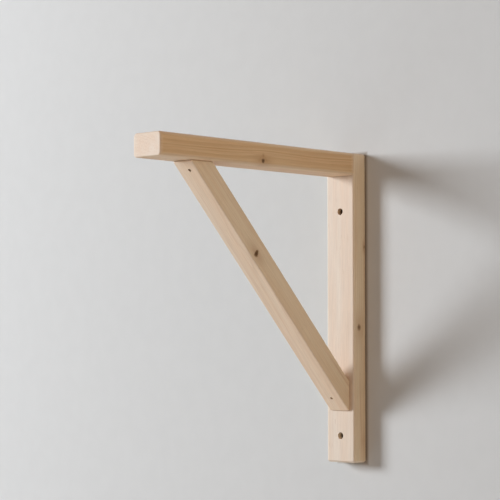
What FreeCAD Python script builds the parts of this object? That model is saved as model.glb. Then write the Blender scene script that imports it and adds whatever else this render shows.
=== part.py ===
import FreeCAD
import Part
import Sketcher
import os

# Gallows bracket in planed pine: an upright, an arm that reaches out from its top and a mitred brace
# between them. Millimetres. X runs across the upright, Y towards its back face and Z up. The origin
# is on the back face, midway between the two screw holes, so the bracket reaches out to -Y.

SIZES = [
    ("batten_width", 29.0, "width of the upright and the arm"),
    ("upright_height", 250.5, "length of the upright, foot to top"),
    ("upright_thickness", 15.0, "upright, back face to front face"),
    ("upright_arris", 1.6, "rounding of the upright's long edges"),
    ("upright_chamfer", 1.4, "chamfer round the upright's foot and top"),
    ("arm_reach", 230.0, "upright's back face to the arm's front end"),
    ("arm_height", 18.0, "depth of the arm's section"),
    ("arm_arris", 3.0, "rounding of the arm's long edges"),
    ("arm_end_arris", 1.2, "rounding of the edges round the arm's front end"),
    ("brace_width", 20.0, "width of the brace"),
    ("brace_depth", 17.0, "brace, front face to back face"),
    ("brace_arris", 1.0, "rounding of all the brace's edges, which blunts its two sharp tips"),
    ("brace_setback", 35.0, "arm's front end to the brace's upper tip, before blunting"),
    ("brace_toe", 40.4, "foot of the upright to the brace's lower tip, before blunting"),
    ("wall_hole", 5.5, "diameter of the wall-screw holes"),
    ("top_to_hole", 47.0, "top of the upright to the upper wall-screw hole"),
    ("foot_to_hole", 21.5, "foot of the upright to the lower wall-screw hole"),
    ("pin_shank", 1.8, "diameter of a brace pin"),
    ("pin_head", 2.5, "diameter of a brace pin's head"),
    ("pin_head_height", 1.5, "length of the tapered head of a brace pin"),
    ("pin_point", 3.0, "length of a brace pin's point"),
    ("pin_length", 25.0, "length of a brace pin, head to point"),
    ("pin_sink", 0.6, "depth of a pin's head below the brace's front face"),
    ("pin_fit", 0.05, "room between a pin and the wood, all round"),
    ("upper_pin_inset", 10.0, "brace's upper tip to the upper pin, along the front face"),
    ("upper_pin_offset", 2.0, "upper pin's distance from the bracket's middle plane, along X"),
    ("lower_pin_inset", 15.9, "brace's lower tip to the lower pin, along the front face"),
    ("lower_pin_offset", -0.2, "lower pin's distance from the bracket's middle plane, along X"),
    ("screw_shank", 3.5, "diameter of an arm screw's shank"),
    ("screw_head", 7.0, "diameter of an arm screw's countersunk head"),
    ("screw_length", 40.0, "length of an arm screw, head to point"),
    ("screw_point", 5.0, "length of an arm screw's point"),
    ("screw_sink", 0.5, "depth of a screw's head below the upright's back face"),
    ("screw_spacing", 12.0, "distance between the two arm screws"),
    ("screw_fit", 0.1, "room between an arm screw and the wood, all round"),
    ("recess_width", 0.9, "width of a wing of the cross recess in a screw's head"),
    ("recess_span", 4.0, "span of the cross recess across its wings"),
    ("recess_depth", 1.6, "depth of the cross recess"),
]

# Levels above the origin and lengths that follow from the sizes, as expressions to bind features to
HOLE_SPACING = "(Sizes.upright_height - Sizes.top_to_hole - Sizes.foot_to_hole)"
FOOT_LEVEL = f"(-{HOLE_SPACING} / 2 - Sizes.foot_to_hole)"
TOP_LEVEL = f"({HOLE_SPACING} / 2 + Sizes.top_to_hole)"
UNDERSIDE_LEVEL = f"({TOP_LEVEL} - Sizes.arm_height)"
SCREW_LEVEL = f"({TOP_LEVEL} - Sizes.arm_height / 2)"
ARM_LENGTH = "(Sizes.arm_reach - Sizes.upright_thickness)"

# The brace's front face, seen from the inner corner where the arm's underside meets the upright's front face
BRACE_RUN = f"({ARM_LENGTH} - Sizes.brace_setback)"
BRACE_RISE = "(Sizes.upright_height - Sizes.arm_height - Sizes.brace_toe)"
BRACE_SLOPE = f"atan({BRACE_RISE} / {BRACE_RUN})"

# Where each pin's line crosses the brace's front face, as Y and Z from the same inner corner
PIN_SPOTS = {
    "upper_pin": (
        f"(-{BRACE_RUN} + Sizes.upper_pin_inset * cos({BRACE_SLOPE}))",
        f"(-Sizes.upper_pin_inset * sin({BRACE_SLOPE}))",
    ),
    "lower_pin": (
        f"(-Sizes.lower_pin_inset * cos({BRACE_SLOPE}))",
        f"(-{BRACE_RISE} + Sizes.lower_pin_inset * sin({BRACE_SLOPE}))",
    ),
}
PIN_BORE = "(Sizes.pin_shank + 2 * Sizes.pin_fit)"
PIN_REACH = "(Sizes.pin_sink + Sizes.pin_length + Sizes.pin_fit)"
HEAD_BORE = "(Sizes.pin_head + 2 * Sizes.pin_fit)"
HEAD_REACH = "(Sizes.pin_sink + Sizes.pin_head_height)"

# The arm screws' heads are right-angled cones, so a cone is as high as its radius drops
COUNTERSINK_ANGLE = 90
SCREW_CONE = "((Sizes.screw_head - Sizes.screw_shank) / 2)"
SCREW_BORE = "(Sizes.screw_shank + 2 * Sizes.screw_fit)"
SCREW_COUNTERSINK = "(Sizes.screw_head + 2 * (Sizes.screw_sink + Sizes.screw_fit))"
SCREW_REACH = "(Sizes.screw_sink + Sizes.screw_length - Sizes.upright_thickness + Sizes.screw_fit)"
SCREW_SIDES = {"left_screw": "(-Sizes.screw_spacing / 2)", "right_screw": "(Sizes.screw_spacing / 2)"}

# The property that sets the size of each kind of worked edge
EDGE_SIZES = {"Fillet": "Radius", "Chamfer": "Size"}

X_AXIS = FreeCAD.Vector(1, 0, 0)
Y_AXIS = FreeCAD.Vector(0, 1, 0)
Z_AXIS = FreeCAD.Vector(0, 0, 1)
QUARTER_TURN = 90
TOLERANCE = 1e-6

doc = FreeCAD.newDocument("GallowsBracket")


# Spreadsheet of driving dimensions: name, value and meaning
def add_sizes():
    sheet = doc.addObject("Spreadsheet::Sheet", "Sizes")
    for row, (name, value, meaning) in enumerate(SIZES, start=1):
        sheet.set(f"A{row}", name)
        sheet.set(f"B{row}", str(value))
        sheet.set(f"C{row}", meaning)
        sheet.setAlias(f"B{row}", name)
    doc.recompute()
    return sheet


def measure(expression):
    return float(sizes.evalExpression(expression))


def bind(item, expressions):
    for path, expression in expressions.items():
        item.setExpression(path, expression)


# Bodies and their sketches
def add_body(name, x="0", y="0", z="0"):
    body = doc.addObject("PartDesign::Body", name)
    body.Label = name
    bind(body, {"Placement.Base.x": x, "Placement.Base.y": y, "Placement.Base.z": z})
    return body


def origin_feature(body, role):
    return next(item for item in body.Origin.OriginFeatures if item.Role == role)


def add_sketch(body, name, plane):
    sketch = body.newObject("Sketcher::SketchObject", name)
    sketch.AttachmentSupport = [(origin_feature(body, plane), "")]
    sketch.MapMode = "FlatFace"
    return sketch


def drive(sketch, name, constraint, expression):
    sketch.addConstraint(constraint)
    sketch.renameConstraint(sketch.ConstraintCount - 1, name)
    sketch.setExpression(f"Constraints.{name}", expression)


# A closed outline through the points, whose constraints then set its true size
def add_outline(sketch, points):
    corners = [FreeCAD.Vector(x, y, 0) for x, y in points]
    count = len(corners)
    for index in range(count):
        sketch.addGeometry(Part.LineSegment(corners[index], corners[(index + 1) % count]), False)
    for index in range(count):
        sketch.addConstraint(Sketcher.Constraint("Coincident", index, 2, (index + 1) % count, 1))


# A rectangle that hangs from the sketch's level axis and is centred on its upright axis
def add_section(sketch, width, height):
    across = measure(width)
    down = measure(height)
    add_outline(sketch, [(-across / 2, 0), (across / 2, 0), (across / 2, -down), (-across / 2, -down)])
    top, right, bottom, left = range(4)
    for line in (top, bottom):
        sketch.addConstraint(Sketcher.Constraint("Horizontal", line))
    for line in (right, left):
        sketch.addConstraint(Sketcher.Constraint("Vertical", line))
    sketch.addConstraint(Sketcher.Constraint("Symmetric", top, 1, top, 2, -1, 1))
    drive(sketch, "width", Sketcher.Constraint("DistanceX", top, 1, top, 2, across), width)
    drive(sketch, "height", Sketcher.Constraint("DistanceY", right, 2, right, 1, down), height)


# Circles of one diameter, each placed from the sketch's origin by two expressions
def add_circles(sketch, diameter, spots):
    bore = measure(diameter)
    for index, (x, y) in enumerate(spots):
        spot = FreeCAD.Vector(measure(x), measure(y), 0)
        sketch.addGeometry(Part.Circle(spot, Z_AXIS, bore / 2), False)
        drive(sketch, f"across{index}", Sketcher.Constraint("DistanceX", -1, 1, index, 3, spot.x), x)
        drive(sketch, f"up{index}", Sketcher.Constraint("DistanceY", -1, 1, index, 3, spot.y), y)
        drive(sketch, f"bore{index}", Sketcher.Constraint("Diameter", index, bore), diameter)


# Features
def add_pad(body, name, sketch, length, centred=False):
    pad = body.newObject("PartDesign::Pad", name)
    pad.Profile = sketch
    pad.Midplane = centred
    bind(pad, {"Length": length})
    doc.recompute()
    return pad


# A rounding or a chamfer of the edges that are wanted, or of every edge where none is named
def dress_edges(body, kind, name, base, size, wanted=None):
    numbered = enumerate(base.Shape.Edges, start=1)
    edges = [f"Edge{index}" for index, edge in numbered if wanted is None or wanted(edge)]
    dressed = body.newObject(f"PartDesign::{kind}", name)
    dressed.Base = (base, edges)
    bind(dressed, {EDGE_SIZES[kind]: size})
    doc.recompute()
    return dressed


def add_pocket(body, name, sketch, length):
    pocket = body.newObject("PartDesign::Pocket", name)
    pocket.Profile = sketch
    pocket.Reversed = True
    bind(pocket, {"Length": length})
    doc.recompute()
    return pocket


def add_hole(body, name, sketch, diameter):
    hole = body.newObject("PartDesign::Hole", name)
    hole.Profile = sketch
    doc.recompute()
    hole.ThreadType = "None"
    hole.DepthType = "ThroughAll"
    hole.Reversed = True
    bind(hole, {"Diameter": diameter})
    doc.recompute()
    return hole


# Edges that run along an axis, and edges that lie in the plane square to an axis at a level
def runs_along(axis):
    def wanted(edge):
        return isinstance(edge.Curve, Part.Line) and abs(edge.Curve.Direction.dot(axis)) > 1 - TOLERANCE

    return wanted


def lies_at(axis, level):
    def wanted(edge):
        points = edge.discretize(3)
        return all(abs(point.dot(axis) - level) < TOLERANCE for point in points)

    return wanted


# A bore along a pin's line, square to the brace's front face. The inner corner is placed in the body's
# own frame.
def add_pin_bore(body, name, pin, diameter, reach, corner_y="0", corner_z="0"):
    sketch = add_sketch(body, f"{name}_circle", "XY_Plane")
    sketch.AttachmentOffset = FreeCAD.Placement(FreeCAD.Vector(), FreeCAD.Rotation(X_AXIS, QUARTER_TURN))
    spot_y, spot_z = PIN_SPOTS[pin]
    place = {
        "AttachmentOffset.Base.x": f"Sizes.{pin}_offset",
        "AttachmentOffset.Base.y": f"{corner_y} + {spot_y}",
        "AttachmentOffset.Base.z": f"{corner_z} + {spot_z}",
        "AttachmentOffset.Rotation.Angle": f"-{BRACE_SLOPE}",
    }
    bind(sketch, place)
    add_circles(sketch, diameter, [("0", "0")])
    return add_pocket(body, name, sketch, reach)


# Upright: batten on end, with two plain screw holes, countersunk holes for the arm screws and a pin bore
def build_upright():
    body = add_body("upright", z=FOOT_LEVEL)
    section = add_sketch(body, "upright_section", "XY_Plane")
    add_section(section, "Sizes.batten_width", "Sizes.upright_thickness")
    batten = add_pad(body, "upright_batten", section, "Sizes.upright_height")
    rounded = dress_edges(body, "Fillet", "upright_edges", batten, "Sizes.upright_arris", runs_along(Z_AXIS))
    foot = dress_edges(body, "Chamfer", "upright_foot", rounded, "Sizes.upright_chamfer", lies_at(Z_AXIS, 0))
    top = lies_at(Z_AXIS, measure("Sizes.upright_height"))
    dress_edges(body, "Chamfer", "upright_top", foot, "Sizes.upright_chamfer", top)

    wall_spots = add_sketch(body, "wall_hole_spots", "XZ_Plane")
    lower_spot = ("0", "Sizes.foot_to_hole")
    upper_spot = ("0", "Sizes.upright_height - Sizes.top_to_hole")
    add_circles(wall_spots, "Sizes.wall_hole", [lower_spot, upper_spot])
    add_hole(body, "wall_holes", wall_spots, "Sizes.wall_hole")

    screw_spots = add_sketch(body, "upright_screw_spots", "XZ_Plane")
    screw_height = "Sizes.upright_height - Sizes.arm_height / 2"
    add_circles(screw_spots, SCREW_BORE, [(side, screw_height) for side in SCREW_SIDES.values()])
    screw_holes = add_hole(body, "upright_screw_holes", screw_spots, SCREW_BORE)
    screw_holes.HoleCutType = "Countersink"
    screw_holes.HoleCutCustomValues = True
    screw_holes.HoleCutCountersinkAngle = COUNTERSINK_ANGLE
    bind(screw_holes, {"HoleCutDiameter": SCREW_COUNTERSINK})

    corner_y = "-Sizes.upright_thickness"
    corner_z = "Sizes.upright_height - Sizes.arm_height"
    add_pin_bore(body, "upright_pin_bore", "lower_pin", PIN_BORE, PIN_REACH, corner_y, corner_z)
    return body


# Arm: batten that butts on the upright's front face, with its top level with the upright's
def build_arm():
    body = add_body("arm", y="-Sizes.upright_thickness", z=TOP_LEVEL)
    section = add_sketch(body, "arm_section", "XZ_Plane")
    add_section(section, "Sizes.batten_width", "Sizes.arm_height")
    batten = add_pad(body, "arm_batten", section, ARM_LENGTH)
    rounded = dress_edges(body, "Fillet", "arm_edges", batten, "Sizes.arm_arris", runs_along(Y_AXIS))
    front = lies_at(Y_AXIS, -measure(ARM_LENGTH))
    dress_edges(body, "Fillet", "arm_front_end", rounded, "Sizes.arm_end_arris", front)

    screw_spots = add_sketch(body, "arm_screw_spots", "XZ_Plane")
    add_circles(screw_spots, SCREW_BORE, [(side, "-Sizes.arm_height / 2") for side in SCREW_SIDES.values()])
    screw_holes = add_hole(body, "arm_screw_holes", screw_spots, SCREW_BORE)
    screw_holes.DepthType = "Dimension"
    screw_holes.DrillPoint = "Angled"
    bind(screw_holes, {"Depth": SCREW_REACH})

    add_pin_bore(body, "arm_pin_bore", "upper_pin", PIN_BORE, PIN_REACH, corner_z="-Sizes.arm_height")
    return body


# Brace: side profile with one mitre under the arm and one on the upright, drawn from their inner corner
def build_brace():
    body = add_body("brace", y="-Sizes.upright_thickness", z=UNDERSIDE_LEVEL)
    profile = add_sketch(body, "brace_profile", "YZ_Plane")
    run = measure(BRACE_RUN)
    rise = measure(BRACE_RISE)
    depth = measure("Sizes.brace_depth")
    add_outline(profile, [(-run, 0), (0, -rise), (0, depth - rise), (depth - run, 0)])
    front, lower_mitre, back, upper_mitre = range(4)
    for line, end, axis in ((front, 1, -1), (back, 2, -1), (front, 2, -2), (back, 1, -2)):
        profile.addConstraint(Sketcher.Constraint("PointOnObject", line, end, axis))
    profile.addConstraint(Sketcher.Constraint("Parallel", front, back))
    drive(profile, "run", Sketcher.Constraint("DistanceX", upper_mitre, 2, -1, 1, run), BRACE_RUN)
    drive(profile, "rise", Sketcher.Constraint("DistanceY", lower_mitre, 1, -1, 1, rise), BRACE_RISE)
    drive(profile, "depth", Sketcher.Constraint("Distance", back, 1, front, depth), "Sizes.brace_depth")
    batten = add_pad(body, "brace_batten", profile, "Sizes.brace_width", centred=True)
    dress_edges(body, "Fillet", "brace_edges", batten, "Sizes.brace_arris")

    for pin in PIN_SPOTS:
        add_pin_bore(body, f"{pin}_bore", pin, PIN_BORE, PIN_REACH)
        add_pin_bore(body, f"{pin}_head_bore", pin, HEAD_BORE, HEAD_REACH)
    return body


# A turned fastener: half its profile, with the head's top at the origin and the point up, revolved about Z
def add_turned(body, kind, cone):
    profile = add_sketch(body, f"{body.Name}_profile", "XZ_Plane")
    head_radius = f"Sizes.{kind}_head / 2"
    shank_radius = f"Sizes.{kind}_shank / 2"
    whole = f"Sizes.{kind}_length"
    sharp = f"Sizes.{kind}_point"
    length = measure(whole)
    point = measure(sharp)
    wide = measure(head_radius)
    slim = measure(shank_radius)
    taper = measure(cone)
    add_outline(profile, [(0, 0), (wide, 0), (slim, taper), (slim, length - point), (0, length)])
    top, under_head, side, tip, axis = range(5)
    profile.addConstraint(Sketcher.Constraint("Coincident", top, 1, -1, 1))
    profile.addConstraint(Sketcher.Constraint("Horizontal", top))
    profile.addConstraint(Sketcher.Constraint("Vertical", side))
    profile.addConstraint(Sketcher.Constraint("Vertical", axis))
    drive(profile, "head", Sketcher.Constraint("DistanceX", top, 1, top, 2, wide), head_radius)
    drive(profile, "cone", Sketcher.Constraint("DistanceY", under_head, 1, under_head, 2, taper), cone)
    drive(profile, "shank", Sketcher.Constraint("DistanceX", axis, 1, side, 2, slim), shank_radius)
    drive(profile, "point", Sketcher.Constraint("DistanceY", tip, 1, tip, 2, point), sharp)
    drive(profile, "length", Sketcher.Constraint("DistanceY", axis, 2, axis, 1, length), whole)
    turned = body.newObject("PartDesign::Revolution", f"{body.Name}_turned")
    turned.Profile = profile
    turned.ReferenceAxis = (profile, ["V_Axis"])
    doc.recompute()
    return turned


def add_group(name, members):
    group = doc.addObject("Part::Compound", name)
    group.Label = name
    group.Links = members
    return group


# Brace pins: lost-head pins sunk below the brace's front face, driven on into the arm and the upright
def build_brace_pins():
    pins = []
    for name, (spot_y, spot_z) in PIN_SPOTS.items():
        pin = add_body(
            name,
            x=f"Sizes.{name}_offset",
            y=f"-Sizes.upright_thickness + {spot_y} + Sizes.pin_sink * sin({BRACE_SLOPE})",
            z=f"{UNDERSIDE_LEVEL} + {spot_z} + Sizes.pin_sink * cos({BRACE_SLOPE})",
        )
        pin.Placement.Rotation = FreeCAD.Rotation(X_AXIS, QUARTER_TURN)
        bind(pin, {"Placement.Rotation.Angle": f"-{BRACE_SLOPE}"})
        add_turned(pin, "pin", "Sizes.pin_head_height")
        pins.append(pin)
    return add_group("brace_pins", pins)


# Arm screws: countersunk wood screws with a cross recess, driven from behind into the arm's end grain
def build_arm_screws():
    screws = []
    for name, side in SCREW_SIDES.items():
        screw = add_body(name, x=side, y="-Sizes.screw_sink", z=SCREW_LEVEL)
        screw.Placement.Rotation = FreeCAD.Rotation(X_AXIS, QUARTER_TURN)
        add_turned(screw, "screw", SCREW_CONE)
        wing = add_sketch(screw, f"{name}_wing", "XY_Plane")
        bind(wing, {"AttachmentOffset.Base.y": "Sizes.recess_width / 2"})
        add_section(wing, "Sizes.recess_span", "Sizes.recess_width")
        slot = add_pocket(screw, f"{name}_slot", wing, "Sizes.recess_depth")
        cross = screw.newObject("PartDesign::PolarPattern", f"{name}_cross")
        cross.Originals = [slot]
        cross.Axis = (origin_feature(screw, "Z_Axis"), [""])
        cross.Angle = QUARTER_TURN
        cross.Occurrences = 2
        screw.Tip = cross
        screws.append(screw)
    return add_group("arm_screws", screws)


# Every feature has to have built, and every cut has to have taken wood or metal away
def check(subparts):
    for item in doc.Objects:
        if "Invalid" in item.State or "Error" in item.State:
            raise RuntimeError(f"{item.Name} failed to build: {item.State}")
        if item.TypeId in ("PartDesign::Pocket", "PartDesign::Hole"):
            if item.Shape.Volume > item.BaseFeature.Shape.Volume - TOLERANCE:
                raise RuntimeError(f"{item.Name} cuts nothing")
    for subpart in subparts:
        if subpart.Shape.isNull() or not subpart.Shape.isValid():
            raise RuntimeError(f"{subpart.Label} has no valid shape")


sizes = add_sizes()
subparts = [build_upright(), build_arm(), build_brace(), build_brace_pins(), build_arm_screws()]
doc.recompute()
check(subparts)

os.makedirs("parts", exist_ok=True)
for subpart in subparts:
    subpart.Shape.exportStep(f"parts/{subpart.Label}.step")
    print(f"{subpart.Label}: {len(subpart.Shape.Solids)} solids, {subpart.Shape.Volume:.1f} mm3")
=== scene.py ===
import math

import bpy
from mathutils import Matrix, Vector

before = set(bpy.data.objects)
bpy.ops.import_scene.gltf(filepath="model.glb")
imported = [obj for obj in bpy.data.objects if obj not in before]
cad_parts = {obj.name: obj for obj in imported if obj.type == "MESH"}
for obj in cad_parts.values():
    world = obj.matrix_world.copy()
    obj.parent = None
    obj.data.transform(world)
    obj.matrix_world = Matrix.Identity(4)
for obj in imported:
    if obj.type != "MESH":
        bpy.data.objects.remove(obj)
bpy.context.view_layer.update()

mm = 0.001    # in metres
print("bracket loaded:", ", ".join(sorted(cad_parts)))


class NodeBench:
    # one node tree, with short calls to add nodes and join them

    def __init__(self, owner):
        owner.use_nodes = True
        self.owner = owner
        self.tree = owner.node_tree
        self.tree.nodes.clear()

    def add(self, kind, **settings):
        node = self.tree.nodes.new(kind)
        for name, value in settings.items():
            setattr(node, name, value)
        return node

    def feed(self, socket, value):
        if isinstance(value, bpy.types.NodeSocket):
            self.tree.links.new(value, socket)
        else:
            socket.default_value = value

    def calc(self, operation, *values):
        node = self.add("ShaderNodeMath", operation=operation)
        for socket, value in zip(node.inputs, values):
            self.feed(socket, value)
        return node.outputs[0]

    def times(self, first, *others):
        for other in others:
            first = self.calc("MULTIPLY", first, other)
        return first

    def vector(self, operation, *values):
        node = self.add("ShaderNodeVectorMath", operation=operation)
        for socket, value in zip(node.inputs, values):
            self.feed(socket, value)
        return node.outputs["Value" if operation in ("LENGTH", "DOT_PRODUCT") else "Vector"]

    def scaled(self, point, factor):
        node = self.add("ShaderNodeVectorMath", operation="SCALE")
        self.feed(node.inputs[0], point)
        self.feed(node.inputs["Scale"], factor)
        return node.outputs["Vector"]

    def split(self, point):
        node = self.add("ShaderNodeSeparateXYZ")
        self.feed(node.inputs[0], point)
        return node.outputs

    def seat(self, point, place, turn=(0.0, 0.0, 0.0), size=(1.0, 1.0, 1.0)):
        node = self.add("ShaderNodeMapping", vector_type="TEXTURE")
        self.feed(node.inputs["Vector"], point)
        node.inputs["Location"].default_value = place
        node.inputs["Rotation"].default_value = [math.radians(angle) for angle in turn]
        node.inputs["Scale"].default_value = size
        return node.outputs["Vector"]

    def noise(self, point, stretch, detail=2.0, roughness=0.5):
        node = self.add("ShaderNodeTexNoise")
        self.feed(node.inputs["Vector"], self.vector("MULTIPLY", point, stretch))
        node.inputs["Scale"].default_value = 1.0
        node.inputs["Detail"].default_value = detail
        node.inputs["Roughness"].default_value = roughness
        return node.outputs

    def sway(self, point, stretch, detail=2.0):
        return self.vector("SUBTRACT", self.noise(point, stretch, detail)["Color"], (0.5, 0.5, 0.5))

    def ease(self, value, low, high, toLow=0.0, toHigh=1.0):
        node = self.add("ShaderNodeMapRange", interpolation_type="SMOOTHSTEP")
        names = ("Value", "From Min", "From Max", "To Min", "To Max")
        for name, part in zip(names, (value, low, high, toLow, toHigh)):
            self.feed(node.inputs[name], part)
        return node.outputs[0]

    def blend(self, factor, first, second, how="MIX"):
        node = self.add("ShaderNodeMix", data_type="RGBA", blend_type=how)
        self.feed(node.inputs[0], factor)
        self.feed(node.inputs[6], first)
        self.feed(node.inputs[7], second)
        return node.outputs[2]

    def bell(self, distance):
        return self.calc("EXPONENT", self.times(distance, distance, -1.0))

    def bump(self, height, depth, strength):
        node = self.add("ShaderNodeBump")
        node.inputs["Strength"].default_value = strength
        node.inputs["Distance"].default_value = depth
        self.feed(node.inputs["Height"], height)
        return node.outputs["Normal"]

    def seen(self):
        path = self.add("ShaderNodeLightPath").outputs
        mirrored = self.calc("MAXIMUM", path["Is Glossy Ray"], path["Is Transmission Ray"])
        return self.calc("MAXIMUM", path["Is Camera Ray"], mirrored)


def startMaterial(name):
    bench = NodeBench(bpy.data.materials.new(name))
    bench.shader = bench.add("ShaderNodeBsdfPrincipled")
    bench.output = bench.add("ShaderNodeOutputMaterial")
    bench.feed(bench.output.inputs["Surface"], bench.shader.outputs["BSDF"])
    return bench


def tint(red, green, blue):
    return (red, green, blue, 1.0)


# Pine: yearly rings round a pith that lies outside the batten, so each face shows its own cut of one log.
# Places in a batten are in mm from its centre: x across, y through its depth, z along the grain.
pine = {
    # colours
    "cream": tint(0.800, 0.685, 0.570),
    "blush": tint(0.775, 0.625, 0.495),
    "late": tint(0.520, 0.315, 0.165),
    "resin": tint(0.380, 0.190, 0.075),
    "halo": tint(0.430, 0.235, 0.105),
    "knotRim": tint(0.210, 0.105, 0.036),
    "knotHeart": tint(0.100, 0.044, 0.008),
    "sanded": tint(0.850, 0.730, 0.590),
    "bored": tint(0.380, 0.200, 0.085),
    # the deepest bore colour is painted shade
    "deepBurnAndShade": tint(0.085, 0.032, 0.006),
    # how often each part of the grain turns in a mm: across, through and along
    "sweepScale": (0.022, 0.022, 0.0065),
    "shiverScale": (0.16, 0.16, 0.022),
    "raggedScale": (0.7, 0.7, 0.5),
    "fadeScale": (0.05, 0.05, 0.011),
    "fibreScale": (3.4, 3.4, 0.06),
    "strandScale": (0.8, 0.8, 0.013),
    "toneScale": (0.085, 0.085, 0.008),
    "fleckScale": (1.6, 1.6, 0.10),
    # rings: how fast and how far their width varies, and how much longer than wide they part round a knot
    "ringPace": 0.31,
    "ringSwing": 2.6,
    "knotReach": (0.0, 1.0, 0.42),
    # how strongly each mark covers the wood
    "fleckShare": 0.30,
    "wornShare": 0.4,
    # roughness of sanded wood, and what summer wood, coarse faces and bores add to it
    "rough": (0.54, 0.66),
    "summerRough": -0.08,
    "coarseRough": 0.14,
    "boreRough": 0.2,
    "ior": 1.45,
    # relief: its depth in mm, its strength and how far each part stands out
    "relief": 0.05,
    "reliefStrength": 0.6,
    "fibreHeight": 0.5,
    "summerHeight": 0.35,
    "knotHeight": 0.8,
}


def makePine(name, batten):
    bench = startMaterial(name)
    coords = bench.add("ShaderNodeTexCoord")
    centre = [c * mm for c in batten["centre"]]
    point = bench.seat(coords.outputs["Object"], centre, (batten["turn"], 0.0, 0.0), (mm, mm, mm))
    seeded = bench.vector("ADD", point, batten["seed"])

    # slow bends of the trunk and small shivers of the fibre
    shiver = bench.sway(seeded, pine["shiverScale"])
    sweep = bench.sway(seeded, pine["sweepScale"], 1.0)
    grain = bench.vector("ADD", point, bench.scaled(sweep, batten["bend"]))
    grain = bench.vector("ADD", grain, bench.scaled(shiver, batten["shiver"]))

    # a knot runs along its own x, and the rings part round it as water does round a post
    ragged = bench.sway(seeded, pine["raggedScale"], 3.0)
    knots = []
    for knot in batten["knots"]:
        near = bench.vector("SUBTRACT", point, knot["place"])
        sides = bench.split(near)
        deep = knot["depth"]
        depth = bench.ease(bench.calc("ABSOLUTE", sides[0]), deep * 0.6, deep, 1.0, 0.0)
        wide = bench.vector("LENGTH", bench.vector("MULTIPLY", near, pine["knotReach"]))
        wide = bench.calc("DIVIDE", wide, knot["radius"])
        part = bench.calc("MINIMUM", bench.calc("DIVIDE", 1.0, bench.times(wide, wide)), 1.0)
        push = bench.times(part, sides[1], depth, -knot["push"])
        grain = bench.vector("ADD", grain, bench.scaled((0.0, 1.0, 0.0), push))
        torn = bench.vector("ADD", point, bench.scaled(ragged, knot["radius"] * knot["ragged"]))
        cut = bench.split(bench.seat(torn, knot["place"], (knot["lean"], 0.0, 0.0)))
        tall = knot["radius"] * knot["stretch"]
        slim = bench.calc("ADD", 1.0, bench.times(cut[2], knot["taper"] / tall))
        across = bench.times(cut[1], slim, 1.0 / knot["radius"])
        length = bench.times(cut[2], 1.0 / tall)
        away = bench.calc("ADD", bench.times(across, across), bench.times(length, length))
        away = bench.calc("SQRT", away)
        knots.append({
            "core": bench.times(bench.ease(away, knot["edge"], 1.2, 1.0, 0.0), depth, knot["dark"]),
            "heart": bench.ease(away, 0.1, 0.9, 1.0, 0.0),
            "halo": bench.times(bench.bell(bench.calc("DIVIDE", wide, 2.0)), depth, knot["halo"]),
        })

    # rings, each with a pale spring and a dark summer that ends sharply
    along = bench.split(point)[2]
    drift = bench.vector("MULTIPLY", bench.scaled((*batten["drift"], 0.0), along), (1.0, 1.0, 0.0))
    fromPith = bench.vector("SUBTRACT", bench.vector("ADD", grain, drift), (*batten["pith"], 0.0))
    radius = bench.vector("LENGTH", bench.vector("MULTIPLY", fromPith, (1.0, 1.0, 0.0)))
    radius = bench.calc("DIVIDE", radius, batten["ring"])
    pace = bench.add("ShaderNodeTexNoise", noise_dimensions="1D")
    bench.feed(pace.inputs["W"], bench.times(radius, pine["ringPace"]))
    pace.inputs["Scale"].default_value = 1.0
    years = bench.calc("ADD", radius, bench.times(pace.outputs["Fac"], pine["ringSwing"]))
    season = bench.calc("FRACT", years)
    dice = bench.add("ShaderNodeTexWhiteNoise", noise_dimensions="1D")
    bench.feed(dice.inputs["W"], bench.calc("FLOOR", years))
    fade = bench.ease(bench.noise(seeded, pine["fadeScale"], 1.0)["Fac"], 0.3, 0.7, 0.55, 1.0)
    summer = bench.times(bench.ease(season, 0.38, 0.93), bench.ease(season, 0.94, 1.0, 1.0, 0.0))
    summer = bench.times(summer, bench.ease(dice.outputs["Value"], 0.0, 1.0, 0.35, 1.0), fade)

    # fibre, resin flecks and the broad drift of tone
    fibre = bench.noise(seeded, pine["fibreScale"], 3.0, 0.62)["Fac"]
    strands = bench.noise(seeded, pine["strandScale"], 2.0, 0.55)["Fac"]
    tone = bench.noise(seeded, pine["toneScale"], 2.0, 0.5)["Fac"]
    flecks = bench.ease(bench.noise(seeded, pine["fleckScale"], 1.0)["Fac"], 0.70, 0.79)

    # which face this is: an end, a side or a back, and otherwise the front or underside
    normal = coords.outputs["Normal"]
    endGrain = bench.calc("ABSOLUTE", bench.vector("DOT_PRODUCT", normal, batten["grain"]))
    endGrain = bench.ease(endGrain, 0.55, 0.92)
    sideFace = bench.ease(bench.calc("ABSOLUTE", bench.split(normal)[0]), 0.4, 0.9)
    backFace = bench.times(bench.split(point)[1], batten["facing"])
    backFace = bench.ease(backFace, -1.0, 1.0, 1.0, 0.0)
    backFace = bench.times(backFace, bench.calc("SUBTRACT", 1.0, sideFace))
    contrast = bench.ease(sideFace, 0.0, 1.0, batten["frontContrast"], batten["sideContrast"])
    atEnd = bench.calc("SUBTRACT", batten["endContrast"], contrast)
    contrast = bench.calc("MULTIPLY_ADD", endGrain, atEnd, contrast)

    colour = bench.blend(bench.ease(tone, 0.34, 0.66), pine["cream"], pine["blush"])
    colour = bench.blend(bench.times(summer, contrast), colour, pine["late"])
    colour = bench.blend(bench.ease(strands, 0.32, 0.72, 0.0, batten["streak"]), colour, pine["late"])
    colour = bench.blend(1.0, colour, bench.ease(fibre, 0.25, 0.75, 0.90, 1.05), "MULTIPLY")
    colour = bench.blend(bench.times(flecks, pine["fleckShare"]), colour, pine["resin"])
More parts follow.
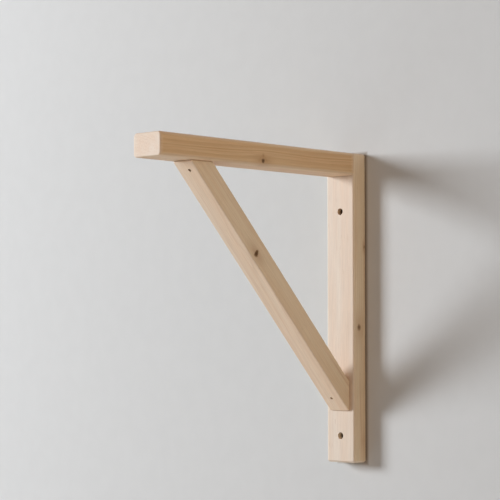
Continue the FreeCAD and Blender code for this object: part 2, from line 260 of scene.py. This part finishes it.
    # painted light and shade: the front, back, side and end tones scale each face's colour to how that face
    # is lit; the end tone also holds the end grain's own tone
    facePaintedLightTone = bench.blend(backFace, batten["tone"], batten["backPaintedLightTone"])
    facePaintedLightTone = bench.blend(sideFace, facePaintedLightTone, batten["sidePaintedLightTone"])
    facePaintedLightTone = bench.blend(endGrain, facePaintedLightTone, batten["endGrainPaintedLightTone"])
    colour = bench.blend(1.0, colour, facePaintedLightTone, "MULTIPLY")

    # stains and knots, where the batten has them
    for stain in batten["stains"]:
        moved = bench.vector("ADD", point, bench.scaled(shiver, stain["waver"]))
        moved = bench.seat(moved, stain["place"], stain["lean"], stain["size"])
        spread = bench.bell(bench.vector("LENGTH", moved))
        spread = bench.times(spread, bench.ease(strands, 0.25, 0.7, 0.5, 1.0), stain["share"])
        colour = bench.blend(spread, colour, pine[stain["colour"]])
    for knot in knots:
        colour = bench.blend(knot["halo"], colour, pine["halo"])
        knotWood = bench.blend(knot["heart"], pine["knotRim"], pine["knotHeart"])
        colour = bench.blend(knot["core"], colour, knotWood)

    # sanded arrises, a little paler, with breaks
    sides = bench.split(bench.vector("SUBTRACT", bench.vector("ABSOLUTE", point), batten["half"]))
    low = bench.calc("MINIMUM", sides[0], sides[1])
    high = bench.calc("MAXIMUM", sides[0], sides[1])
    arris = bench.calc("MAXIMUM", low, bench.calc("MINIMUM", high, sides[2]))
    worn = bench.ease(arris, batten["arris"] * -1.2, batten["arris"] * -0.2)
    worn = bench.times(worn, bench.ease(strands, 0.25, 0.7, 0.3, 1.0), pine["wornShare"])
    colour = bench.blend(worn, colour, pine["sanded"])

    # drilled bores, darkened by the drill's heat, with painted shade that deepens further in, and a paler
    # bruised rim
    inside = bench.calc("ABSOLUTE", bench.split(point)[1])
    inside = bench.ease(bench.calc("SUBTRACT", batten["half"][1], inside), 1.5, 5.5)
    boreWallAndShade = bench.blend(inside, pine["bored"], pine["deepBurnAndShade"])
    bores = 0.0
    for bore in batten["bores"]:
        reach = bench.vector("SUBTRACT", point, bore["place"])
        reach = bench.vector("LENGTH", bench.vector("MULTIPLY", reach, (1.0, 0.0, 1.0)))
        reach = bench.calc("SUBTRACT", reach, bore["radius"])
        rim = bench.ease(reach, 0.1, 0.9, 1.0, 0.0)
        rim = bench.times(rim, bench.ease(fibre, 0.3, 0.7, 0.15, 0.55))
        colour = bench.blend(rim, colour, pine["sanded"])
        bored = bench.ease(reach, 0.02, 0.22, 1.0, 0.0)
        burnAndShadeShare = bench.times(bored, bench.ease(inside, 0.0, 1.0, *bore["burnAndShadeRange"]))
        colour = bench.blend(burnAndShadeShare, colour, boreWallAndShade)
        bores = bench.calc("MAXIMUM", bored, bores)
    bench.feed(bench.shader.inputs["Base Color"], colour)

    # end grain and backs are left coarser than the sanded faces
    rough = bench.ease(fibre, 0.2, 0.8, *pine["rough"])
    rough = bench.calc("ADD", rough, bench.times(summer, pine["summerRough"]))
    coarse = bench.calc("MAXIMUM", endGrain, backFace)
    rough = bench.calc("ADD", rough, bench.times(coarse, pine["coarseRough"]))
    rough = bench.calc("ADD", rough, bench.times(bores, pine["boreRough"]))
    bench.feed(bench.shader.inputs["Roughness"], rough)
    bench.shader.inputs["IOR"].default_value = pine["ior"]

    height = bench.times(fibre, pine["fibreHeight"])
    height = bench.calc("ADD", height, bench.times(summer, pine["summerHeight"]))
    for knot in knots:
        height = bench.calc("ADD", height, bench.times(knot["core"], pine["knotHeight"]))
    relief = bench.bump(height, pine["relief"] * mm, pine["reliefStrength"])
    bench.feed(bench.shader.inputs["Normal"], relief)
    return bench.owner


# each batten: its place and size, its log (pith, width of a ring, lean and bends), the contrast and tone of
# the grain on each face, and its own marks; mm and degrees
# the tones per face hold painted light and shade, set to how each face is lit
upright = {
    "centre": (0.0, -7.5, 12.75),
    "turn": 0.0,
    "grain": (0.0, 0.0, 1.0),
    "facing": -1.0,    # the sign of y on its front
    "half": (14.5, 7.5, 125.25),
    "arris": 1.6,
    "seed": (11.0, 43.0, 7.0),
    "pith": (-9.0, 58.0),
    "ring": 2.3,
    "drift": (0.004, -0.006),
    "bend": 4.0,
    "shiver": 1.0,
    "sideContrast": 0.38,
    "frontContrast": 0.15,
    "endContrast": 0.26,
    "streak": 0.09,
    # painted light and shade: the sides' tone is set apart from the front's to match how each face is lit
    "tone": tint(0.972, 0.968, 0.950),
    "backPaintedLightTone": tint(0.972, 0.968, 0.950),
    "sidePaintedLightTone": tint(1.03, 1.050, 0.950),
    "endGrainPaintedLightTone": tint(0.97, 0.94, 0.90),
    "knots": [
        {"place": (14.5, -1.2, -16.05), "lean": 0.0, "radius": 2.5, "stretch": 1.2, "taper": 0.15,
         "depth": 9.0, "ragged": 0.6, "push": 1.2, "halo": 0.4, "edge": 0.30, "dark": 0.75},
        {"place": (14.5, 5.6, 49.35), "lean": 0.0, "radius": 1.1, "stretch": 1.6, "taper": 0.0,
         "depth": 8.0, "ragged": 0.7, "push": 1.2, "halo": 0.5, "edge": 0.4, "dark": 0.40},
    ],
    "stains": [
        {"place": (14.5, 0.4, -81.75), "lean": (2.5, 0.0, 0.0), "size": (6.0, 0.7, 26.0), "waver": 2.5,
         "colour": "late", "share": 0.55},
        {"place": (14.5, 3.4, -108.25), "lean": (0.0, 0.0, 0.0), "size": (5.0, 2.2, 6.0), "waver": 2.0,
         "colour": "halo", "share": 0.35},
        {"place": (8.3, -7.5, 56.25), "lean": (0.0, 0.0, 0.0), "size": (0.9, 4.0, 3.0), "waver": 1.0,
         "colour": "late", "share": 0.22},
    ],
    "bores": [
        {"place": (0.0, 0.0, 78.25), "radius": 2.75, "burnAndShadeRange": (0.35, 0.92)},
        {"place": (0.0, 0.0, -103.75), "radius": 2.75, "burnAndShadeRange": (0.05, 0.72)},
    ],
}
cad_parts["upright"].data.materials[0] = makePine("uprightPine", upright)

arm = {
    "centre": (0.0, -122.5, 129.0),
    "turn": -90.0,
    "grain": (0.0, 1.0, 0.0),
    "facing": 1.0,    # the sign of y on its underside
    "half": (14.5, 9.0, 107.5),
    "arris": 3.0,
    "seed": (71.0, 13.0, 29.0),
    "pith": (-14.0, 54.0),
    "ring": 2.6,
    "drift": (0.006, 0.020),
    "bend": 6.0,
    "shiver": 1.2,
    "sideContrast": 0.72,
    "frontContrast": 0.60,
    "endContrast": 0.20,
    "streak": 0.15,
    # painted light and shade: the underside and end are lightened, the top and sides are darker and warmer
    "tone": tint(1.14, 1.010, 0.830),
    "backPaintedLightTone": tint(0.92, 0.770, 0.590),
    "sidePaintedLightTone": tint(0.92, 0.790, 0.555),
    "endGrainPaintedLightTone": tint(1.12, 1.11, 1.10),
    "knots": [
        {"place": (14.5, 5.2, 0.8), "lean": 0.0, "radius": 2.0, "stretch": 0.95, "taper": 0.0,
         "depth": 9.0, "ragged": 0.7, "push": 1.4, "halo": 0.6, "edge": 0.5, "dark": 0.96},
    ],
    "stains": [
        {"place": (14.5, 1.4, 1.0), "lean": (4.0, 0.0, 0.0), "size": (4.0, 1.7, 1.0), "waver": 0.6,
         "colour": "resin", "share": 0.75},
        {"place": (14.5, 3.6, -2.2), "lean": (52.0, 0.0, 0.0), "size": (4.0, 0.8, 3.2), "waver": 0.8,
         "colour": "halo", "share": 0.38},
        {"place": (14.5, 3.6, 4.0), "lean": (-52.0, 0.0, 0.0), "size": (4.0, 0.8, 3.2), "waver": 0.8,
         "colour": "halo", "share": 0.38},
        {"place": (14.5, 8.2, -1.4), "lean": (-24.0, 0.0, 0.0), "size": (4.0, 2.4, 0.6), "waver": 0.6,
         "colour": "late", "share": 0.45},
        {"place": (14.5, 8.2, 0.9), "lean": (0.0, 0.0, 0.0), "size": (4.0, 2.4, 0.45), "waver": 0.6,
         "colour": "late", "share": 0.45},
    ],
    "bores": [],
}
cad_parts["arm"].data.materials[0] = makePine("armPine", arm)

brace = {
    "centre": (0.0, -98.80, 29.76),
    "turn": -136.86,
    "grain": (0.0, 0.6838, -0.7297),
    "facing": 1.0,    # the sign of y on its front
    "half": (10.0, 8.5, 200.0),
    "arris": 1.0,
    "seed": (5.0, 91.0, 61.0),
    "pith": (12.0, 52.0),
    "ring": 2.1,
    "drift": (-0.012, 0.010),
    "bend": 5.0,
    "shiver": 1.0,
    "sideContrast": 0.28,
    "frontContrast": 0.46,
    "endContrast": 0.22,
    "streak": 0.11,
    # painted light: the front and back tone is raised above the sides' to match how each face is lit
    "tone": tint(1.14, 1.08, 0.985),
    "backPaintedLightTone": tint(1.14, 1.08, 0.985),
    "sidePaintedLightTone": tint(1.03, 1.030, 0.915),
    "endGrainPaintedLightTone": tint(0.97, 0.94, 0.90),
    "knots": [
        {"place": (10.0, 2.8, -34.2), "lean": -72.5, "radius": 2.1, "stretch": 1.5, "taper": -0.35,
         "depth": 9.0, "ragged": 0.75, "push": 1.6, "halo": 0.50, "edge": 0.6, "dark": 1.0},
    ],
    "stains": [
        {"place": (10.0, -4.5, 98.0), "lean": (1.5, 0.0, 0.0), "size": (5.0, 0.8, 22.0), "waver": 2.0,
         "colour": "late", "share": 0.5},
        {"place": (10.0, -5.0, -80.0), "lean": (1.0, 0.0, 0.0), "size": (5.0, 2.4, 42.0), "waver": 2.5,
         "colour": "late", "share": 0.26},
    ],
    "bores": [
        {"place": (2.0, 0.0, -121.6), "radius": 1.3, "burnAndShadeRange": (0.6, 0.9)},
        {"place": (-0.2, 0.0, 115.7), "radius": 1.3, "burnAndShadeRange": (0.25, 0.6)},
    ],
}
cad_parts["brace"].data.materials[0] = makePine("bracePine", brace)
print("pine battens grained")

# steel: dull browned pins, the lower one dusted over, and zinc-plated screws with painted shade down their
# recesses
turnedSteel = {
    "cloudScale": (0.9, 0.9, 0.9),
    "markScale": (9.0, 1.2, 9.0),
    "rustShare": 0.7,
    "recessShadeShare": 0.85,
    "dustShare": 0.90,
    "relief": 0.02,    # mm
    "reliefStrength": 0.4,
}
pins = {
    "base": tint(0.270, 0.175, 0.095),
    "worn": tint(0.420, 0.310, 0.200),
    "rust": tint(0.210, 0.100, 0.040),
    "dust": tint(0.560, 0.370, 0.180),
    "dusted": (0.0, 50.0),    # mm up, from dusted to clean
    "rough": (0.45, 0.70),
}
screws = {
    "base": tint(0.600, 0.590, 0.555),
    "worn": tint(0.720, 0.700, 0.660),
    "rust": tint(0.440, 0.380, 0.240),
    # painted shade in the driver's recess: the screw heads darken further down it
    "recessShade": tint(0.100, 0.092, 0.080),
    "recessShadeDepths": (-1.3, -0.5),    # mm down the driver's recess, from dark to clean
    "rough": (0.24, 0.42),
}


def makeSteel(name, steel):
    bench = startMaterial(name)
    coords = bench.add("ShaderNodeTexCoord")
    point = bench.scaled(coords.outputs["Object"], 1.0 / mm)
    cloud = bench.noise(point, turnedSteel["cloudScale"], 3.0, 0.6)["Fac"]
    marks = bench.noise(point, turnedSteel["markScale"], 2.0, 0.6)["Fac"]
    colour = bench.blend(bench.ease(marks, 0.3, 0.75), steel["base"], steel["worn"])
    rust = bench.ease(cloud, 0.52, 0.70, 0.0, turnedSteel["rustShare"])
    colour = bench.blend(rust, colour, steel["rust"])
    places = bench.split(point)
    # painted shade: darker further down the recess
    if "recessShadeDepths" in steel:
        recessShade = bench.ease(places[1], *steel["recessShadeDepths"], turnedSteel["recessShadeShare"], 0.0)
        colour = bench.blend(recessShade, colour, steel["recessShade"])
    metallic = 1.0
    if "dusted" in steel:
        dust = bench.ease(places[2], *steel["dusted"], turnedSteel["dustShare"], 0.0)
        dust = bench.times(dust, bench.ease(cloud, 0.3, 0.6, 0.8, 1.0))
        colour = bench.blend(dust, colour, steel["dust"])
        metallic = bench.calc("SUBTRACT", 1.0, dust)
    bench.feed(bench.shader.inputs["Base Color"], colour)
    bench.feed(bench.shader.inputs["Roughness"], bench.ease(cloud, 0.3, 0.7, *steel["rough"]))
    bench.feed(bench.shader.inputs["Metallic"], metallic)
    relief = bench.bump(marks, turnedSteel["relief"] * mm, turnedSteel["reliefStrength"])
    bench.feed(bench.shader.inputs["Normal"], relief)
    return bench.owner


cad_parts["brace_pins"].data.materials[0] = makeSteel("pinSteel", pins)
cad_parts["arm_screws"].data.materials[0] = makeSteel("screwZinc", screws)
print("pins and screws finished")

# camera: where the picture was taken from, for a frame of 500 x 500
lookout = {
    "sensor": 36.0,
    "lens": 128.05,
    "azimuth": 43.80,
    "elevation": -2.93,
    "distance": 1.3803,
    "target": (-0.00556, -0.11533, 0.05618),
}


def placeCamera(view):
    turn = math.radians(view["azimuth"])
    rise = math.radians(view["elevation"])
    level = math.cos(rise)
    back = Vector((math.sin(turn) * level, -math.cos(turn) * level, math.sin(rise)))
    data = bpy.data.cameras.new("lookout")
    data.sensor_width = view["sensor"]
    data.lens = view["lens"]
    camera = bpy.data.objects.new("lookout", data)
    bpy.context.scene.collection.objects.link(camera)
    camera.location = Vector(view["target"]) + back * view["distance"]
    camera.rotation_euler = (-back).to_track_quat("-Z", "Y").to_euler()
    bpy.context.scene.camera = camera


placeCamera(lookout)

# light: a broad lamp low on the left, a lamp behind for the back,
# and soft light all round that is warm from the right
lamps = {
    "keyLamp": {"towards": (-0.803, -0.561, 0.203), "distance": 3.2, "size": 1.0, "power": 107.0,
                "colour": (0.94, 1.0, 1.08)},
    "backLamp": {"towards": (-0.35, 0.80, 0.45), "distance": 2.0, "size": 1.0, "power": 10.0,
                 "colour": (1.0, 0.97, 0.93)},
}
ambient = {
    "left": tint(0.12, 0.12, 0.118),
    "front": tint(0.185, 0.172, 0.175),
    "right": tint(0.97, 0.690, 0.465),
    "turnsAt": (-0.5, 0.2, 0.95),
    "seen": tint(0.63, 0.63, 0.62),
}
middle = Vector((0.0, -0.10, 0.02))    # what the lamps point at


def hangLamp(name, lamp):
    data = bpy.data.lights.new(name, "AREA")
    data.shape = "SQUARE"
    data.size = lamp["size"]
    data.energy = lamp["power"]
    data.color = lamp["colour"]
    light = bpy.data.objects.new(name, data)
    bpy.context.scene.collection.objects.link(light)
    towards = Vector(lamp["towards"]).normalized()
    light.location = middle + towards * lamp["distance"]
    light.rotation_euler = towards.to_track_quat("Z", "Y").to_euler()


for name, lamp in lamps.items():
    hangLamp(name, lamp)


def paintWorld():
    bench = NodeBench(bpy.data.worlds.new("studio"))
    bpy.context.scene.world = bench.owner
    rightwards = bench.split(bench.add("ShaderNodeTexCoord").outputs["Generated"])[0]
    leftEnd, middleTurn, rightEnd = ambient["turnsAt"]
    light = bench.blend(bench.ease(rightwards, leftEnd, middleTurn), ambient["left"], ambient["front"])
    light = bench.blend(bench.ease(rightwards, middleTurn, rightEnd), light, ambient["right"])
    background = bench.add("ShaderNodeBackground")
    bench.feed(background.inputs["Color"], bench.blend(bench.seen(), light, ambient["seen"]))
    output = bench.add("ShaderNodeOutputWorld")
    bench.feed(output.inputs["Surface"], background.outputs["Background"])


paintWorld()
bpy.context.scene.view_settings.view_transform = "Standard"
print("camera and light placed")

# stage: a pale floor well below, and a pale backdrop that shows only from the front.
# The backdrop is open behind the upright, but for a patch behind each hole, and has a painted contact
# shadow where it meets it, which also darkens the patches
backdrop = {
    "half": 1.0,
    "top": 1.6,
    "behind": 0.1 * mm,
    "opening": (-13.4 * mm, 13.4 * mm, -111.4 * mm, 136.9 * mm),
    "patches": (91.0 * mm, -91.0 * mm),
    "patch": 2.7 * mm,
    "patchSides": 24,
    "contactShadeAt": (0.0, 0.0, 12.75 * mm),
    "contactShadeHalf": (14.5 * mm, 0.0, 125.25 * mm),
    "contactShadeFade": (0.0, 3.2 * mm),
    "contactShadeTint": tint(0.54, 0.46, 0.39),
    "colour": tint(0.645, 0.644, 0.626),
}
floor = {
    "reach": 6.0,
    "level": -1.6,
    "colour": tint(0.74, 0.74, 0.73),
    "evenTo": tint(0.60, 0.60, 0.59),
    "even": 0.65,    # how far it looks even, where it is seen
}
matt = {
    "gritScale": (60.0, 60.0, 60.0),
    "gritShade": (0.985, 1.0),
    "rough": 0.95,
    "specular": 0.1,
}


def makeStage(name, corners, faces, colour, frontOnly):
    bench = startMaterial(name)
    coords = bench.add("ShaderNodeTexCoord")
    grit = bench.noise(coords.outputs["Object"], matt["gritScale"], 3.0)["Fac"]
    shade = bench.blend(1.0, colour, bench.ease(grit, 0.3, 0.7, *matt["gritShade"]), "MULTIPLY")
    # painted contact shadow: darker within a few mm of the upright's outline, fully dark on the patches
    # inside it
    if frontOnly:
        off = bench.vector("SUBTRACT", coords.outputs["Object"], backdrop["contactShadeAt"])
        off = bench.vector("SUBTRACT", bench.vector("ABSOLUTE", off), backdrop["contactShadeHalf"])
        off = bench.split(off)
        contactShade = bench.ease(bench.calc("MAXIMUM", off[0], off[2]), *backdrop["contactShadeFade"])
        contactShade = bench.blend(contactShade, backdrop["contactShadeTint"], tint(1.0, 1.0, 1.0))
        shade = bench.blend(1.0, shade, contactShade, "MULTIPLY")
    bench.feed(bench.shader.inputs["Base Color"], shade)
    bench.shader.inputs["Roughness"].default_value = matt["rough"]
    bench.shader.inputs["Specular IOR Level"].default_value = matt["specular"]
    if frontOnly:
        other = bench.add("ShaderNodeBsdfTransparent")
        share = bench.add("ShaderNodeNewGeometry").outputs["Backfacing"]
    else:
        other = bench.add("ShaderNodeEmission")
        other.inputs["Color"].default_value = floor["evenTo"]
        share = bench.times(bench.seen(), floor["even"])
    mix = bench.add("ShaderNodeMixShader")
    bench.feed(mix.inputs[0], share)
    bench.feed(mix.inputs[1], bench.shader.outputs["BSDF"])
    bench.feed(mix.inputs[2], other.outputs[0])
    bench.feed(bench.output.inputs["Surface"], mix.outputs[0])
    mesh = bpy.data.meshes.new(name)
    mesh.from_pydata(corners, [], faces)
    mesh.materials.append(bench.owner)
    piece = bpy.data.objects.new(name, mesh)
    bpy.context.scene.collection.objects.link(piece)


def panel(left, right, low, high, depth):
    return [(left, depth, low), (right, depth, low), (right, depth, high), (left, depth, high)]


reach = floor["reach"]
level = floor["level"]
around = ((-reach, -reach), (reach, -reach), (reach, reach), (-reach, reach))
makeStage("floor", [(x, y, level) for x, y in around], [(0, 1, 2, 3)], floor["colour"], False)

half = backdrop["half"]
behind = backdrop["behind"]
patch = backdrop["patch"]
turns = [math.tau * step / backdrop["patchSides"] for step in range(backdrop["patchSides"])]
corners = panel(-half, half, level, backdrop["top"], behind) + panel(*backdrop["opening"], behind)
faces = [(0, 1, 5, 4), (1, 2, 6, 5), (2, 3, 7, 6), (3, 0, 4, 7)]
for height in backdrop["patches"]:
    first = len(corners)
    corners += [(patch * math.cos(turn), behind, height + patch * math.sin(turn)) for turn in turns]
    faces.append(tuple(range(first, len(corners))))
makeStage("backdrop", corners, faces, backdrop["colour"], True)
print("stage set")
